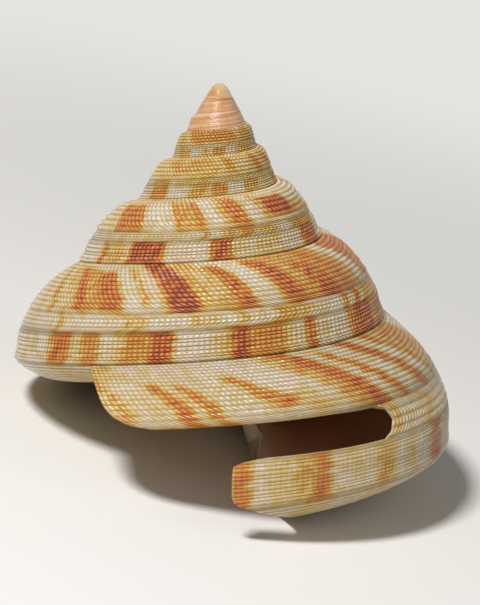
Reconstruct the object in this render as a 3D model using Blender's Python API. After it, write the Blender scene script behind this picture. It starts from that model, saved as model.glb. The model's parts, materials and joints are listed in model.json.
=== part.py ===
"""Slit shell: one hollow, right-handed, top-shaped seashell with a slit in its outer lip.

Shell space is in millimetres: the axis is Z, the apex is at the origin and depth grows downwards.
An age counts whole turns back from the line of growth that faces the front (-Y), so growth runs
towards smaller ages and ends at the lip. A row runs along a whorl; its position across the whorl is
0 at the suture, 1 at the lower suture or rim, and 2 at the inner end of the base.
"""

import math

import bmesh
import bpy
import numpy as np
from mathutils import Matrix

MM = 0.001

# The line on which each whorl is joined to the next: its radius and depth at the front, how many times
# they grow in a turn, how much narrower the first whorls stayed, and how far the last one sags behind
JOIN_RADIUS = 25.2
JOIN_DEPTH = 35.3
RADIUS_GROWTH = 1.4
DEPTH_GROWTH = 1.52
NARROWING = 0.48
NARROW_FROM = 0.2
NARROW_OVER = 2.9
SAG = 0.03
APEX_DEPTH = 0.5

# The whorl's outline between its two sutures: how far it bulges off the straight line between them.
# Late whorls are round and fullest near the rim; early ones have a shoulder near the suture.
OUTLINE_AT = (0.0, 0.2, 0.4, 0.6, 0.8, 0.9, 1.0)
LATE_BULGE = 0.17
LATE_SKEW = 1.15
LATE_FULLNESS = 0.4
EARLY_BULGE = 0.12
EARLY_SKEW = 0.5
EARLY_FULLNESS = 0.3
EARLY_AGE = 3.0

# The base, as parts of the rim's radius: its inner end, and how far it swells below the rim
BASE_AT = (1.07, 1.3, 1.5, 1.75, 2.0)
BASE_END = 0.17
BASE_SWELL = 0.107
BASE_SKEW = 0.75

# The band that fills the slit as the shell grows: its edges across the oldest whorls, how far each
# has moved at the lip, and over how many turns
BAND_UPPER = 0.60
BAND_LOWER = 0.735
UPPER_MOVED = 0.145
LOWER_MOVED = 0.07
UPPER_OVER = 0.9
LOWER_OVER = 1.5

# The grid: columns along the growth and rows across the whorl
COLUMNS_PER_TURN = 30
TURNS = 8
UPPER_ROW = 0.50
MIDDLE_ROW = 0.58
LOWER_ROW = 0.66
CEILING_ROW = 1.05
ROWS = (0.0, 0.12, 0.28, 0.40, UPPER_ROW, MIDDLE_ROW, LOWER_ROW, 0.76, 0.88, 1.0,
        CEILING_ROW, 1.15, 1.3, 1.5, 1.7, 1.85, 2.0)

# The growing lip, in degrees from the front: where it meets the suture, how far it leans back down to
# the slit, and its place on the side, under the base and at the centre
LIP_SUTURE = -39.0
LIP_LEAN = 17.0
LIP_BEND = 0.85
LIP_CORNER = 7.0
CORNER_POWER = 8
LIP_SIDE = 4.6
LIP_NOTCH = 7.4
NOTCH_WIDTH = 0.012
LIP_BASE = 22.0
LIP_CENTRE = 60.0
SLIT_COLUMNS = 5
BAND_LAG = 2

# The hollow and the pillar (columella), as parts of the rim's radius
CAVITY_TURNS = 3.5
WALL = 0.032
FOOT_RADIUS = 0.24
FOOT_LIFT = 0.048
PILLAR_RADIUS = (0.15, 0.125)
PILLAR_CLIMB = (0.25, 0.60)
NAVEL_DEPTH = 40.3

# Resting pose: the shell's turns about X and then Y, in degrees, and its shift, which puts it over
# the origin with its lowest places a quarter of a millimetre too low, where they are worn flat
REST_TURN = (-8.9, -10.7)
REST_PLACE = (-10.356, 9.838, 49.754)


def spline_weights(keys, at):
    """Matrix that takes values at the keys to the natural cubic spline's values at the points."""
    keys = np.asarray(keys, float)
    at = np.asarray(at, float)
    count = len(keys)
    gaps = np.diff(keys)
    system = np.eye(count)
    slopes = np.zeros((count, count))
    for i in range(1, count - 1):
        system[i, i - 1 : i + 2] = gaps[i - 1], 2.0 * (gaps[i - 1] + gaps[i]), gaps[i]
        slopes[i, i - 1] = 6.0 / gaps[i - 1]
        slopes[i, i] = -6.0 / gaps[i - 1] - 6.0 / gaps[i]
        slopes[i, i + 1] = 6.0 / gaps[i]
    curvature = np.linalg.solve(system, slopes)
    unit = np.eye(count)
    span = np.clip(np.searchsorted(keys, at) - 1, 0, count - 2)
    gap = gaps[span][:, None]
    right = (at - keys[span])[:, None] / gap
    left = 1.0 - right
    straight = left * unit[span] + right * unit[span + 1]
    bend = (left**3 - left) * curvature[span] + (right**3 - right) * curvature[span + 1]
    return straight + bend * gap**2 / 6.0


def smooth(value):
    """Rises smoothly from 0 to 1 as the value does."""
    value = np.clip(value, 0.0, 1.0)
    return value * value * (3.0 - 2.0 * value)


def suture(ages):
    """Radius and depth of the suture line at each age."""
    narrowing = NARROWING * smooth((ages - NARROW_FROM) / NARROW_OVER)
    sag = SAG * np.sin(math.pi * np.clip(-ages, 0.0, 1.0)) ** 2
    radius = JOIN_RADIUS * RADIUS_GROWTH**-ages * np.exp(-narrowing)
    return radius, JOIN_DEPTH * DEPTH_GROWTH**-ages * (1.0 + sag)


def lip_angle(row):
    """Angle of the lip on a row, in degrees from the front."""
    if row <= MIDDLE_ROW:
        share = min(row / UPPER_ROW, 1.0)
        return LIP_SUTURE + LIP_LEAN * share**LIP_BEND + LIP_CORNER * share**CORNER_POWER
    notch = LIP_NOTCH * math.exp(-(row - LOWER_ROW) / NOTCH_WIDTH)
    base = (LIP_BASE - LIP_SIDE) * smooth((row - 0.9) / 0.3)
    centre = (LIP_CENTRE - LIP_BASE) * max(0.0, 2.0 * row - 3.0) ** 3
    return LIP_SIDE + notch + base + centre


def outline_position(row, ages):
    """Where a row lies on the whorl's outline, following the band's edges as the whorl grows."""
    if row >= 1.0:
        return np.full(len(ages), row)
    upper = BAND_UPPER - UPPER_MOVED * np.exp(-np.maximum(ages, 0.0) / UPPER_OVER)
    lower = BAND_LOWER - LOWER_MOVED * np.exp(-np.maximum(ages, 0.0) / LOWER_OVER)
    if row <= UPPER_ROW:
        return upper * row / UPPER_ROW
    if row <= LOWER_ROW:
        return upper + (lower - upper) * (row - UPPER_ROW) / (LOWER_ROW - UPPER_ROW)
    return lower + (1.0 - lower) * (row - LOWER_ROW) / (1.0 - LOWER_ROW)


def section(ages, positions):
    """Radius and depth of points of the outside, one position across the whorl for each age."""
    top_radius, top_depth = suture(ages)
    rim_radius, rim_depth = suture(ages - 1.0)
    out = rim_radius - top_radius
    down = rim_depth - top_depth
    early = np.clip(ages / EARLY_AGE, 0.0, 1.0)[:, None]
    at = np.array(OUTLINE_AT)
    late_along = at + LATE_FULLNESS * at**3 * (1.0 - at)
    early_along = at - EARLY_FULLNESS * at * (1.0 - at) ** 3
    late_bulge = LATE_BULGE * np.sin(math.pi * at**LATE_SKEW)
    early_bulge = EARLY_BULGE * np.sin(math.pi * at**EARLY_SKEW)
    along = (1.0 - early) * late_along + early * early_along
    bulge = (1.0 - early) * late_bulge + early * early_bulge
    inward = np.array(BASE_AT) - 1.0
    radii = top_radius[:, None] + along * out[:, None] + bulge * down[:, None]
    depths = top_depth[:, None] + along * down[:, None] - bulge * out[:, None]
    radii = np.hstack([radii, rim_radius[:, None] * (1.0 - (1.0 - BASE_END) * inward)])
    swell = BASE_SWELL * np.sin(math.pi * inward**BASE_SKEW)
    depths = np.hstack([depths, rim_depth[:, None] + rim_radius[:, None] * swell])
    weights = spline_weights(OUTLINE_AT + BASE_AT, positions)
    return (weights * radii).sum(axis=1), (weights * depths).sum(axis=1)


def place(ages, radii, depths):
    """Points in shell space."""
    angle = 2.0 * math.pi * ages
    return np.stack([radii * np.sin(angle), -radii * np.cos(angle), -depths], axis=1)


def column_ages(row, last_column):
    """Age of every column of a row: the columns are lines of growth, so they run like the lip."""
    columns = np.arange(last_column + 1)
    return (last_column - columns) / COLUMNS_PER_TURN + lip_angle(row) / 360.0


def outer_row(row, last_column):
    ages = column_ages(row, last_column)
    return place(ages, *section(ages, outline_position(row, ages)))


def inner_row(row, last_column):
    """A row of the hollow's wall: the outside, moved in by the wall's thickness."""
    ages = column_ages(row, last_column)
    position = outline_position(row, ages)
    step = 0.002
    radius, depth = section(ages, position)
    next_radius, next_depth = section(ages, position + step)
    run = next_radius - radius
    fall = next_depth - depth
    length = np.hypot(run, fall)
    wall = WALL * suture(ages - 1.0)[0]
    return place(ages, radius - wall * fall / length, depth + wall * run / length)


def pillar_rows(last_column):
    """Rows of the pillar from its foot on the base up towards the previous turn's base."""
    ages = column_ages(2.0, last_column)
    rim_radius, rim_depth = suture(ages - 1.0)
    foot_depth = rim_depth - FOOT_LIFT * rim_radius
    end_depth = suture(ages)[1]
    rows = [place(ages, FOOT_RADIUS * rim_radius, foot_depth)]
    for share, climb in zip(PILLAR_RADIUS, PILLAR_CLIMB):
        rows.append(place(ages, share * rim_radius, foot_depth + climb * (end_depth - foot_depth)))
    return rows


class Net:
    """The shell's mesh as it grows, with rows of vertices that can be shared."""

    def __init__(self):
        self.body = bmesh.new()

    def add_row(self, points, first=0, shared=None):
        """A row's vertices, by column: shared ones are taken, and others are made."""
        row = dict(shared or {})
        for column in range(first, len(points)):
            if column not in row:
                row[column] = self.body.verts.new(points[column])
        return row

    def sheet(self, rows, first, last, lag=0):
        """Faces between successive rows; with a lag, each row runs that many columns behind the last."""
        for high, low in zip(rows, rows[1:]):
            for column in range(first, last):
                below = column + lag
                self.body.faces.new((high[column], low[below], low[below + 1], high[column + 1]))

    def band(self, rows, first, last):
        """The slit's filled band, whose lower edge lags because the lip steps back below the slit."""
        self.sheet([rows[UPPER_ROW], rows[MIDDLE_ROW]], first, last)
        self.sheet([rows[MIDDLE_ROW], rows[LOWER_ROW]], first, last, BAND_LAG)

    def ribbon(self, pairs):
        """Faces between two lines of vertices, given in pairs."""
        for (a, b), (c, d) in zip(pairs, pairs[1:]):
            self.body.faces.new(dict.fromkeys((a, c, d, b)))

    def fan(self, loop, centre):
        middle = self.body.verts.new(centre)
        for a, b in zip(loop, loop[1:] + loop[:1]):
            self.body.faces.new((a, b, middle))


def band_end(rows, column):
    """The line down the band's end at this column, from its lower edge up to its middle."""
    edge = [rows[LOWER_ROW][column + step] for step in range(BAND_LAG + 1)]
    return edge + [rows[MIDDLE_ROW][column]]


def build_net():
    net = Net()
    last = COLUMNS_PER_TURN * TURNS
    shift = round((lip_angle(1.0) - lip_angle(0.0)) * COLUMNS_PER_TURN / 360.0)
    suture_lag = COLUMNS_PER_TURN - shift
    cavity = last - round(COLUMNS_PER_TURN * CAVITY_TURNS)
    base_start = cavity - COLUMNS_PER_TURN
    slit_upper = last - SLIT_COLUMNS
    slit_lower = slit_upper + BAND_LAG

    # Outside: each whorl's first row is the rim of the whorl before it
    side = [row for row in ROWS if row <= 1.0]
    under = [row for row in ROWS if row >= CEILING_ROW]
    outer = {row: net.add_row(outer_row(row, last)) for row in side[1:]}
    for row in under:
        outer[row] = net.add_row(outer_row(row, last), base_start)
    joined = {c: outer[1.0][c - suture_lag] for c in range(suture_lag, last + 1)}
    outer[0.0] = net.add_row(outer_row(0.0, last), shared=joined)
    net.sheet([outer[row] for row in side if row <= UPPER_ROW], 0, last)
    net.band(outer, 0, slit_upper)
    net.sheet([outer[row] for row in side if row >= LOWER_ROW], 0, last)
    net.sheet([outer[1.0], outer[CEILING_ROW]], last - suture_lag, last)
    net.sheet([outer[row] for row in under], base_start, last)

    # Hollow: its first row runs along the ceiling, which is the base of the whorl before it
    ceiling = {c: outer[CEILING_ROW][c - suture_lag] for c in range(cavity, last + 1)}
    inner = {0.0: net.add_row(outer_row(0.0, last), cavity, ceiling)}
    walls = [row for row in ROWS if 0.0 < row < 1.85 and row != CEILING_ROW]
    for row in walls:
        inner[row] = net.add_row(inner_row(row, last), cavity)
    pillar = [net.add_row(points, cavity) for points in pillar_rows(last)]
    top = {c: outer[2.0][c - COLUMNS_PER_TURN] for c in range(cavity, last + 1)}
    roof = [inner[row] for row in inner if row <= UPPER_ROW]
    floor = [inner[row] for row in inner if row >= LOWER_ROW] + pillar + [top]
    net.sheet(roof, cavity, last)
    net.band(inner, cavity, slit_upper)
    net.sheet(floor, cavity, last)

    # Lip: from the suture along the slit's edges, over the rim and under the base to the pillar
    path = [(row, last) for row in side if row <= UPPER_ROW]
    path += [(UPPER_ROW, column) for column in range(last - 1, slit_upper - 1, -1)]
    path += [(MIDDLE_ROW, slit_upper)]
    path += [(LOWER_ROW, column) for column in range(slit_lower, last + 1)]
    path += [(row, last) for row in ROWS if LOWER_ROW < row < 1.85]
    pairs = []
    for row, column in path:
        matching = 1.0 if row == CEILING_ROW else row
        pairs.append((outer[row][column], inner[matching][column]))
    pairs += [(outer[1.85][last], pillar[0][last]), (outer[2.0][last], pillar[0][last])]
    net.ribbon(pairs)

    # Caps: the apex, the end of the hollow, and the base's centre with the pillar's free edge
    loop = [outer[0.0][column] for column in range(suture_lag + 1)]
    loop += [outer[row][0] for row in reversed(side[1:-1]) if row > LOWER_ROW]
    loop += band_end(outer, 0)
    loop += [outer[row][0] for row in reversed(side[1:-1]) if row <= UPPER_ROW]
    net.fan(loop, (0.0, 0.0, -APEX_DEPTH))
    loop = [outer[CEILING_ROW][column] for column in range(base_start, base_start + shift)]
    loop += [row[cavity] for row in roof] + band_end(inner, cavity)[::-1]
    loop += [row[cavity] for row in floor[1:]]
    loop += [outer[row][base_start] for row in reversed(under[1:-1])]
    net.fan(loop, np.mean([vertex.co for vertex in loop], axis=0))
    loop = [outer[2.0][column] for column in range(last - COLUMNS_PER_TURN, last + 1)]
    loop += [row[last] for row in pillar]
    net.fan(loop, (0.0, 0.0, -NAVEL_DEPTH))
    return net.body


def shell_material():
    material = bpy.data.materials.new("shell")
    material.use_nodes = True
    surface = material.node_tree.nodes["Principled BSDF"]
    surface.inputs["Base Color"].default_value = (0.62, 0.36, 0.17, 1.0)
    surface.inputs["Roughness"].default_value = 0.35
    surface.inputs["Specular IOR Level"].default_value = 0.5
    return material


def set_at_rest(body):
    """Turns the shell from its own space into its resting pose, and wears its lowest places flat."""
    about_x, about_y = (math.radians(angle) for angle in REST_TURN)
    turn = Matrix.Rotation(about_y, 4, "Y") @ Matrix.Rotation(about_x, 4, "X")
    rest = Matrix.Scale(MM, 4) @ Matrix.Translation(REST_PLACE) @ turn
    bmesh.ops.transform(body, matrix=rest, verts=body.verts)
    for vertex in body.verts:
        vertex.co.z = max(vertex.co.z, 0.0)


def main():
    for thing in list(bpy.data.objects):
        bpy.data.objects.remove(thing, do_unlink=True)
    body = build_net()
    set_at_rest(body)
    bmesh.ops.recalc_face_normals(body, faces=body.faces)
    mesh = bpy.data.meshes.new("shell")
    body.to_mesh(mesh)
    body.free()
    mesh.shade_smooth()
    mesh.materials.append(shell_material())
    bpy.context.scene.collection.objects.link(bpy.data.objects.new("shell", mesh))


main()
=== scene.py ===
"""A slit shell with beaded cords, flame pattern and nacre, on a plain pale floor."""

import json
import math
from dataclasses import dataclass

import bmesh
import bpy
import numpy as np
from bpy.props import FloatProperty, FloatVectorProperty, PointerProperty
from bpy.types import Operator, Panel, PropertyGroup
from mathutils import Matrix, Vector

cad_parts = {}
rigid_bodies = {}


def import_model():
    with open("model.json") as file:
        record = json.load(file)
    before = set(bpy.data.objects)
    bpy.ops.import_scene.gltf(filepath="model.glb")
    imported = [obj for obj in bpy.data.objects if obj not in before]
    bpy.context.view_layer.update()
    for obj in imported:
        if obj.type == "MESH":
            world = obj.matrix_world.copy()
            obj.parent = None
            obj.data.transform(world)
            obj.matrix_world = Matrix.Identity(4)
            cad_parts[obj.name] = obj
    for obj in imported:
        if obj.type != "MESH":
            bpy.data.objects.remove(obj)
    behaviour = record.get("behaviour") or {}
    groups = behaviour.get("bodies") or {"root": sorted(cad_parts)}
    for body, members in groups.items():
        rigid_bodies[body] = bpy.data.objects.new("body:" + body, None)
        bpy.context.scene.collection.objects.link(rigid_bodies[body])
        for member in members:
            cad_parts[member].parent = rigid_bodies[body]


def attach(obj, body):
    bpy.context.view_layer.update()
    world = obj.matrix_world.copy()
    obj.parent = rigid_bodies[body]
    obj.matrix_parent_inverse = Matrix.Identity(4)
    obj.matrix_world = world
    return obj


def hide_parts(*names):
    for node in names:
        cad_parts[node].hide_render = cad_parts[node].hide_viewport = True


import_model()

bl_info = {
    "name": "Slit Shell",
    "version": (1, 0, 0),
    "blender": (4, 5, 0),
    "location": "3D View > Sidebar > Slit Shell",
    "description": "Grows a slit shell along its spiral and sets it on a pale studio floor",
    "category": "Add Mesh",
}

BODY = "root"
NODE = "shell"
MM = 0.001
TAU = 2.0 * math.pi

# The line on which each whorl is joined to the next: its radius and depth at the front (age 0, and
# ages count turns back), how many times they grow in a turn, how much narrower the first whorls
# stayed, and how far the last one sags behind. Lengths are in millimetres.
JOIN_RADIUS = 25.2
JOIN_DEPTH = 35.3
RADIUS_GROWTH = 1.4
DEPTH_GROWTH = 1.52
NARROWING = 0.48
NARROW_FROM = 0.2
NARROW_OVER = 2.9
SAG = 0.03
APEX_DEPTH = 0.5
TURNS = 7.5
FINE_AGES = 2000
ROW_STEP = 0.002

# The whorl's outline between its two sutures: how far it bulges off the straight line between them.
# Late whorls are round and fullest near the rim; early ones have a shoulder near the suture.
OUTLINE_AT = (0.0, 0.2, 0.4, 0.6, 0.8, 0.9, 1.0)
LATE_BULGE = 0.17
LATE_SKEW = 1.15
LATE_FULLNESS = 0.4
EARLY_BULGE = 0.12
EARLY_SKEW = 0.5
EARLY_FULLNESS = 0.3
EARLY_AGE = 3.0

# The base, as parts of the rim's radius: its inner end, and how far it swells below the rim
BASE_AT = (1.07, 1.3, 1.5, 1.75, 2.0)
BASE_END = 0.17
BASE_SWELL = 0.107
BASE_SKEW = 0.75

# The band that fills the slit as the shell grows: its edges across the whorls, how far each has
# moved at the lip, and over how many turns.
# Rows count 0 at the suture, 0.5 and 0.66 at the band's edges, 1 at the rim and 2 inside the base.
BAND_UPPER = 0.60
BAND_LOWER = 0.71
UPPER_MOVED = 0.145
LOWER_MOVED = 0.045
UPPER_OVER = 0.8
LOWER_OVER = 0.08
UPPER = 0.50
LOWER = 0.66
RIM = 1.0
CENTRE = 2.0

# The edge of the lip, which every line of growth repeats, in degrees from the front: where it meets
# the suture, how far it leans back down to the slit, and its place on the side, under the base and
# at the centre
LIP_SUTURE = -39.0
LIP_LEAN = 17.0
LIP_BEND = 0.85
LIP_CORNER = 7.0
CORNER_POWER = 8
LIP_SIDE = 4.6
LIP_NOTCH = 7.4
NOTCH_WIDTH = 0.012
LIP_BASE = 22.0
BASE_FROM = 0.9
BASE_OVER = 0.3
LIP_CENTRE = 60.0
CENTRE_FROM = 1.5
SLIT_END = 42.2
SLIT_BOW = 4.2
BOW_POWER = 2.4

# Cords over the band, threads on it and cords under it, for each whorl from the last to the first
CORDS_OVER = (15, 12, 8, 7, 6, 3, 2, 2, 2)
THREADS = (4, 4, 4, 3, 2, 1, 1, 1, 1)
CORDS_UNDER = (13, 8, 6, 5, 4, 2, 2, 2, 2)
BASE_CORDS = 34
SPREAD_BY = 0.4
SOFT_BY = 0.45
NEW_CORD = 0.12
CORD_GROWS_IN = 0.3
SHOULDERS = (0.0, 1.0 / 3.0, 2.0 / 3.0)

# Beads are closer together on the small whorls: ages, and parts of the bead spacing
BEAD_AGES = (1.3, 3.0)
BEAD_SHRINK = (1.0, 0.7)

# The first whorls are worn smooth and blushed: by how much, and from which age
WORN = 0.9
WORN_FROM = 4.2
WORN_OVER = 0.6
WORN_CORD = 0.6
WORN_FLAT = 0.85
FLAT_FROM = 4.65
FLAT_OVER = 0.35
BLUSH_FROM = 4.4
CLOSE_FROM = 6.6
CLOSE_OVER = 0.8
CLOSED = 0.95

# The hollow and the pillar, as parts of the rim's radius
CAVITY_TURNS = 3.5
WALL = 0.032
FOOT_RADIUS = 0.24
FOOT_LIFT = 0.048
PILLAR_RADIUS = (0.15, 0.125)
PILLAR_CLIMB = (0.25, 0.60)
NAVEL_DEPTH = 40.3

# How the shell rests: turned about X and then Y, in degrees, and moved, in millimetres
REST_TURN = (-8.9, -10.7)
REST_PLACE = (-10.356, 9.838, 49.754)


def linear(hex_colour):
    """An sRGB hex colour as linear red, green and blue."""
    parts = [int(hex_colour[i : i + 2], 16) / 255.0 for i in (1, 3, 5)]
    return tuple(p / 12.92 if p <= 0.04045 else ((p + 0.055) / 1.055) ** 2.4 for p in parts)


def swatch(name, description, hex_colour):
    """A colour property."""
    return FloatVectorProperty(
        name=name, description=description, subtype="COLOR", default=linear(hex_colour)
    )


class ShellSizes(PropertyGroup):
    cord_height: FloatProperty(
        name="Cord height", default=0.21, min=0.0, max=0.5,
        description="Height of a cord over its grooves, as a share of the cords' spacing",
    )
    bead_pitch: FloatProperty(
        name="Bead spacing", default=0.00075, min=0.0004, max=0.003, unit="LENGTH", precision=5,
        description="Distance between the beads along a cord",
    )
    bead_cut: FloatProperty(
        name="Bead depth", default=0.75, min=0.0, max=1.0, subtype="FACTOR",
        description="How deep the saddles between beads are cut, as a share of the cord's height",
    )
    edge_rounding: FloatProperty(
        name="Lip rounding", default=0.00015, min=0.0, max=0.001, unit="LENGTH", precision=5,
        description="How far the middle of the lip's edge stands out",
    )


class ShellColours(PropertyGroup):
    chalk: swatch("Chalk", "Shell with no pigment", "#D2CABB")
    cream: swatch("Cream", "Ground between the flames", "#CBBA98")
    straw: swatch("Straw", "Fringes of the flames", "#C8AA58")
    ochre: swatch("Ochre", "Weak flames", "#BE8828")
    orange: swatch("Orange", "Ordinary flames", "#C0721A")
    red: swatch("Red", "Strong flames", "#B2540C")
    maroon: swatch("Maroon", "Hearts of the strongest flames", "#8A3008")
    rose: swatch("Rose", "Rosy tinge of the ground", "#C9A58C")
    olive: swatch("Olive", "Olive tinge of the ground", "#BBA65E")
    # Crest: partly worn shell on the bead tops, partly a painted highlight
    crest: swatch("Crest", "Rubbed tops of the beads", "#E6D3B8")
    blush: swatch("Blush", "Worn first whorls", "#B4796A")
    # Nacre: painted shade makes it darker and browner deeper in the hollow, from the colour at the
    # lip to the colour inside
    edge_nacre: swatch("Nacre at the lip", "Thin nacre just inside the lip", "#CDBDA2")
    shaded_deep_nacre: swatch("Nacre inside", "Thick nacre deeper in the hollow", "#CE9A78")


class StageSettings(PropertyGroup):
    floor: swatch("Floor", "Colour of the studio floor", "#E6E4E0")
    key_power: FloatProperty(
        name="Key light", default=4.0, min=0.0, unit="POWER",
        description="Power of the soft lamp above the shell",
    )
    fill_power: FloatProperty(
        name="Fill light", default=0.6, min=0.0, unit="POWER",
        description="Power of the lamp on the other side",
    )
    room_light: FloatProperty(
        name="Room light", default=0.18, min=0.0,
        description="Strength of the even light from all round",
    )


def age_span(first, last, radius, pitch):
    """Ages from first to last, half a bead apart, where the whorl has that radius at each age."""
    fine = np.linspace(first, last, FINE_AGES)
    per_turn = TAU * radius(fine) / (pitch * np.interp(fine, BEAD_AGES, BEAD_SHRINK))
    beads = np.concatenate([[0.0], np.cumsum(np.diff(fine) * (per_turn[1:] + per_turn[:-1]) / 2.0)])
    count = max(2, int(round(2.0 * beads[-1])))
    return np.interp(np.linspace(0.0, beads[-1], count + 1), beads, fine)


def spline_weights(keys, at):
    """Matrix that takes values at the keys to the natural cubic spline's values at the points."""
    keys = np.asarray(keys, float)
    at = np.asarray(at, float)
    count = len(keys)
    gaps = np.diff(keys)
    system = np.eye(count)
    slopes = np.zeros((count, count))
    for i in range(1, count - 1):
        system[i, i - 1 : i + 2] = gaps[i - 1], 2.0 * (gaps[i - 1] + gaps[i]), gaps[i]
        slopes[i, i - 1] = 6.0 / gaps[i - 1]
        slopes[i, i] = -6.0 / gaps[i - 1] - 6.0 / gaps[i]
        slopes[i, i + 1] = 6.0 / gaps[i]
    curvature = np.linalg.solve(system, slopes)
    unit = np.eye(count)
    span = np.clip(np.searchsorted(keys, at) - 1, 0, count - 2)
    gap = gaps[span][:, None]
    right = (at - keys[span])[:, None] / gap
    left = 1.0 - right
    straight = left * unit[span] + right * unit[span + 1]
    bend = (left**3 - left) * curvature[span] + (right**3 - right) * curvature[span + 1]
    return straight + bend * gap**2 / 6.0


def suture(ages):
    """Radius and depth of the suture line at each age."""
    ages = np.asarray(ages, float)
    narrowing = NARROWING * smooth((ages - NARROW_FROM) / NARROW_OVER)
    sag = SAG * np.sin(math.pi * np.clip(-ages, 0.0, 1.0)) ** 2
    radius = JOIN_RADIUS * RADIUS_GROWTH**-ages * np.exp(-narrowing)
    return radius, JOIN_DEPTH * DEPTH_GROWTH**-ages * (1.0 + sag)


def outline_position(ages, rows):
    """Where a row lies on the whorl's outline, following the band's edges as the whorl grows."""
    upper = BAND_UPPER - UPPER_MOVED * np.exp(-np.maximum(ages, 0.0) / UPPER_OVER)
    lower = BAND_LOWER - LOWER_MOVED * np.exp(-np.maximum(ages, 0.0) / LOWER_OVER)
    over = upper * rows / UPPER
    band = upper + (lower - upper) * (rows - UPPER) / (LOWER - UPPER)
    under = lower + (1.0 - lower) * (rows - LOWER) / (RIM - LOWER)
    return np.select([rows <= UPPER, rows <= LOWER, rows <= RIM], [over, band, under], rows)


def section(ages, positions):
    """Radius and depth of points of the outside, one position across the whorl for each age."""
    top_radius, top_depth = suture(ages)
    rim_radius, rim_depth = suture(ages - 1.0)
    closing = CLOSED * smooth((ages - CLOSE_FROM) / CLOSE_OVER)
    top_radius = top_radius + closing * (rim_radius - top_radius)
    top_depth = top_depth + closing * (rim_depth - top_depth)
    out = rim_radius - top_radius
    down = rim_depth - top_depth
    early = np.clip(ages / EARLY_AGE, 0.0, 1.0)[:, None]
    at = np.array(OUTLINE_AT)
    late_along = at + LATE_FULLNESS * at**3 * (1.0 - at)
    early_along = at - EARLY_FULLNESS * at * (1.0 - at) ** 3
    late_bulge = LATE_BULGE * np.sin(math.pi * at**LATE_SKEW)
    early_bulge = EARLY_BULGE * np.sin(math.pi * at**EARLY_SKEW)
    along_line = (1.0 - early) * late_along + early * early_along
    flat = WORN_FLAT * smooth((ages - FLAT_FROM) / FLAT_OVER)[:, None]
    bulge = ((1.0 - early) * late_bulge + early * early_bulge) * (1.0 - flat)
    radii = top_radius[:, None] + along_line * out[:, None] + bulge * down[:, None]
    depths = top_depth[:, None] + along_line * down[:, None] - bulge * out[:, None]
    inward = np.array(BASE_AT) - 1.0
    swell = BASE_SWELL * np.sin(math.pi * inward**BASE_SKEW)
    radii = np.hstack([radii, rim_radius[:, None] * (1.0 - (1.0 - BASE_END) * inward)])
    depths = np.hstack([depths, rim_depth[:, None] + rim_radius[:, None] * swell])
    weights = spline_weights(OUTLINE_AT + BASE_AT, positions)
    return (weights * radii).sum(axis=1), (weights * depths).sum(axis=1)


def surface(ages, rows, lift=0.0):
    """Points of the outside at these ages and rows, lifted off it by so many millimetres."""
    ages, rows, lift = np.broadcast_arrays(np.asarray(ages, float), rows, lift)
    shape = ages.shape
    ages, rows, lift = ages.ravel(), rows.ravel(), lift.ravel()
    position = outline_position(ages, rows)
    radius, depth = section(ages, position)
    next_radius, next_depth = section(ages, position + ROW_STEP)
    run = next_radius - radius
    fall = next_depth - depth
    length = np.hypot(run, fall)
    points = place(ages, radius + lift * fall / length, depth - lift * run / length)
    return points.reshape(*shape, 3)


def place(ages, radii, depths):
    """Points in shell space: millimetres, the axis up Z, the apex at the origin."""
    angle = TAU * ages
    return np.stack([radii * np.sin(angle), -radii * np.cos(angle), -depths], axis=-1)


def smooth(value):
    """Rises smoothly from 0 to 1 as the value does."""
    value = np.clip(value, 0.0, 1.0)
    return value * value * (3.0 - 2.0 * value)


def lip_shift(rows):
    """How far a line of growth leans on each row, in turns."""
    rows = np.asarray(rows, float)
    share = np.clip(rows / UPPER, 0.0, 1.0)
    over = LIP_SUTURE + LIP_LEAN * share**LIP_BEND + LIP_CORNER * share**CORNER_POWER
    notch = LIP_NOTCH * np.exp(-np.maximum(rows - LOWER, 0.0) / NOTCH_WIDTH)
    base = (LIP_BASE - LIP_SIDE) * smooth((rows - BASE_FROM) / BASE_OVER)
    inward = np.maximum(rows - CENTRE_FROM, 0.0) / (CENTRE - CENTRE_FROM)
    under = LIP_SIDE + notch + base + (LIP_CENTRE - LIP_BASE) * inward**3
    return np.where(rows < (UPPER + LOWER) / 2.0, over, under) / 360.0


def band_shift(rows):
    """How far the crescents on the band bow back, in turns."""
    across = 2.0 * (rows - UPPER) / (LOWER - UPPER) - 1.0
    return SLIT_BOW / 360.0 * (1.0 - np.abs(across) ** BOW_POWER)


class Line:
    """Vertices along an edge of the mesh, with a key that rises along it."""

    def __init__(self, keys, ids):
        self.keys = np.asarray(keys, float)
        self.ids = np.asarray(ids, int)

    def part(self, first, last):
        return Line(self.keys[first:last], self.ids[first:last])

    def moved(self, shift):
        return Line(self.keys + shift, self.ids)

    def then(self, other):
        return chain(self, other)


# The depth value sets how much painted shade the nacre gets
VALUES = ("growth", "cord", "bead", "pigment", "blush", "depth")
OUTER, NACRE = 0, 1


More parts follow.
